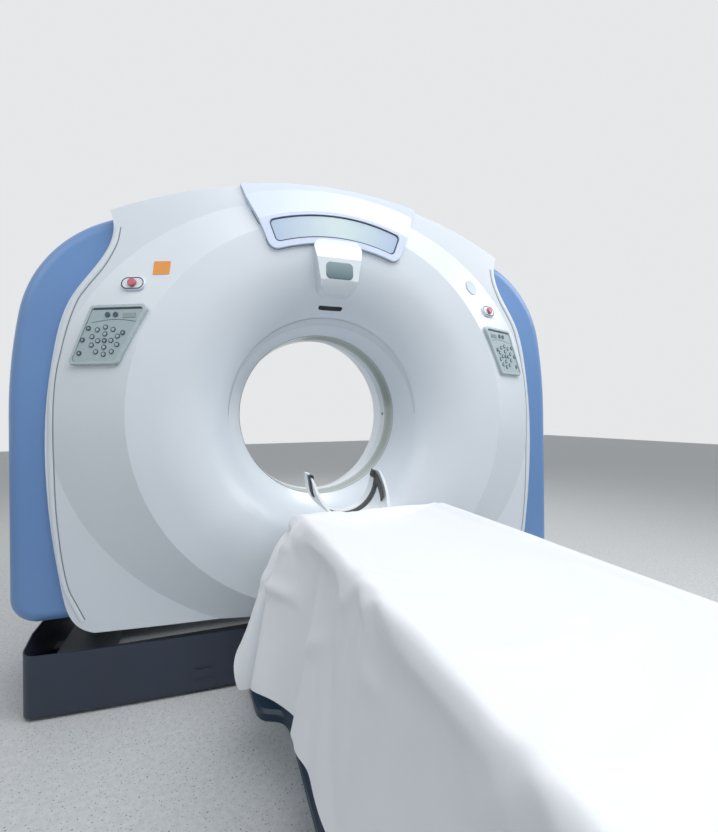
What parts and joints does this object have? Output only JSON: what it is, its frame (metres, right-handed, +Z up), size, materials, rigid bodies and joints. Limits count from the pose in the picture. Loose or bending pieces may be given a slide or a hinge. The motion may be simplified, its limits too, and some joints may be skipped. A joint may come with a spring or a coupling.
{
  "type": "ct scanner",
  "caption": "Hospital CT scanner: tilting ring gantry on a low base, and a sheet-draped patient table with a sliding cradle and head holder.",
  "frame": {"origin": "on the floor, directly below the centre of the scan plane", "axes": "+Z up, +Y along the bore from the table towards the rear of the gantry, +X to the right seen from the table"},
  "size_m": [2.23, 3.495, 1.89],
  "materials": {
    "white_cover": "moulded, satin gloss",
    "blue_cover": "moulded, satin",
    "console_plastic": "moulded, satin",
    "screen_lens": "tinted display lens, glossy",
    "window_lens": "smoked lens, glossy",
    "scan_window": "thin film ring",
    "panel_grey": "fine-textured moulding",
    "keypad_grey": "moulded keys on a printed overlay",
    "stop_red": "moulded button",
    "slot_black": "dark window",
    "base_cover": "moulded, fine texture",
    "foot_cover": "moulded, fine texture",
    "skirt": "powder coat",
    "frame_paint": "welded and painted",
    "machined_steel": "machined",
    "cast_alloy": "cast and machined",
    "tube_housing": "painted housing",
    "electronics_case": "sheet-metal case",
    "slip_ring_metal": "turned tracks",
    "belt_rubber": "toothed belt, plain back",
    "carbon_cradle": "lacquered carbon laminate",
    "glide_plastic": "low-friction plastic",
    "pad_vinyl": "vinyl-covered foam",
    "strap_fabric": "woven webbing",
    "sheet_cotton": "plain-woven cotton"
  },
  "bodies": {
    "base": {"base_end_cover_left": "base_cover", "base_end_cover_right": "base_cover", "base_frame": "frame_paint", "base_front_cover": "base_cover", "base_rear_cover": "base_cover", "docking_plate": "machined_steel", "levelling_feet": "machined_steel", "lift_tubes": "frame_paint", "lower_skirt": "skirt", "table_foot": "foot_cover", "table_foot_block": "foot_cover", "tilt_gearbox": "cast_alloy", "tilt_motor": "electronics_case", "trunnion_bearings": "machined_steel", "upright_left": "frame_paint", "upright_right": "frame_paint"},
    "gantry": {"front_cover": "white_cover", "side_cover_left": "blue_cover", "side_cover_right": "blue_cover", "top_cover": "white_cover", "bottom_cover": "white_cover", "rear_cover": "white_cover", "scan_window": "scan_window", "rear_bore_ring": "white_cover", "display_console": "console_plastic", "display_screen": "screen_lens", "hood_window": "window_lens", "light_slot": "slot_black", "bore_trim": "white_cover", "control_panels": "panel_grey", "keypads": "keypad_grey", "stop_bezels": "panel_grey", "tilt_frame": "frame_paint", "trunnion_shafts": "machined_steel", "main_bearing_outer": "machined_steel", "brush_block": "electronics_case", "drive_belt": "belt_rubber", "drive_motor": "electronics_case"},
    "rotor": {"rotor_drum": "cast_alloy", "main_bearing_inner": "machined_steel", "slip_ring": "slip_ring_metal", "detector_arc": "electronics_case", "data_unit": "electronics_case", "xray_tube": "tube_housing", "collimator": "electronics_case", "generators": "electronics_case", "heat_exchanger": "cast_alloy"},
    "pulley": {"drive_pulley": "machined_steel"},
    "stop_left": {"stop_button_left": "stop_red"},
    "stop_right": {"stop_button_right": "stop_red"},
    "lift_stage": {"middle_skirt": "skirt"},
    "table_top": {"upper_skirt": "skirt", "lift_rods": "machined_steel", "table_top_frame": "cast_alloy", "cradle_glides": "glide_plastic"},
    "cradle_body": {"cradle": "carbon_cradle", "cradle_pad": "pad_vinyl", "head_holder": "white_cover", "head_straps": "strap_fabric", "sheet": "sheet_cotton"}
  },
  "joints": [
    {"name": "gantry_tilt", "type": "hinge", "parent": "base", "child": "gantry", "pos_m": [0, 0, 1.005], "axis": [-1, 0, 0], "range_deg": [-25, 10]},
    {"name": "rotor_spin", "type": "hinge", "parent": "gantry", "child": "rotor", "pos_m": [0, 0.11, 1.005], "axis": [0, 1, 0], "continuous": true},
    {"name": "pulley_spin", "type": "hinge", "parent": "gantry", "child": "pulley", "pos_m": [0.62969, 0.11, 0.47663], "axis": [0, 1, 0], "continuous": true},
    {"name": "stop_left_press", "type": "slide", "parent": "gantry", "child": "stop_left", "axis": [0.3529, 0.9085, -0.2239], "range_m": [0, 0.004], "stiffness_N_per_m": 1500},
    {"name": "stop_right_press", "type": "slide", "parent": "gantry", "child": "stop_right", "axis": [-0.3529, 0.9085, -0.2239], "range_m": [0, 0.004], "stiffness_N_per_m": 1500},
    {"name": "table_lift", "type": "slide", "parent": "base", "child": "table_top", "axis": [0, 0, 1], "range_m": [-0.1, 0.3]},
    {"name": "stage_lift", "type": "slide", "parent": "base", "child": "lift_stage", "axis": [0, 0, 1], "range_m": [-0.05, 0.15]},
    {"name": "cradle_slide", "type": "slide", "parent": "table_top", "child": "cradle_body", "axis": [0, 1, 0], "range_m": [0, 0.15]}
  ],
  "couplings": [
    {"joint": "pulley_spin", "follows": "rotor_spin", "ratio": 15.889},
    {"joint": "stage_lift", "follows": "table_lift", "ratio": 0.5}
  ]
}
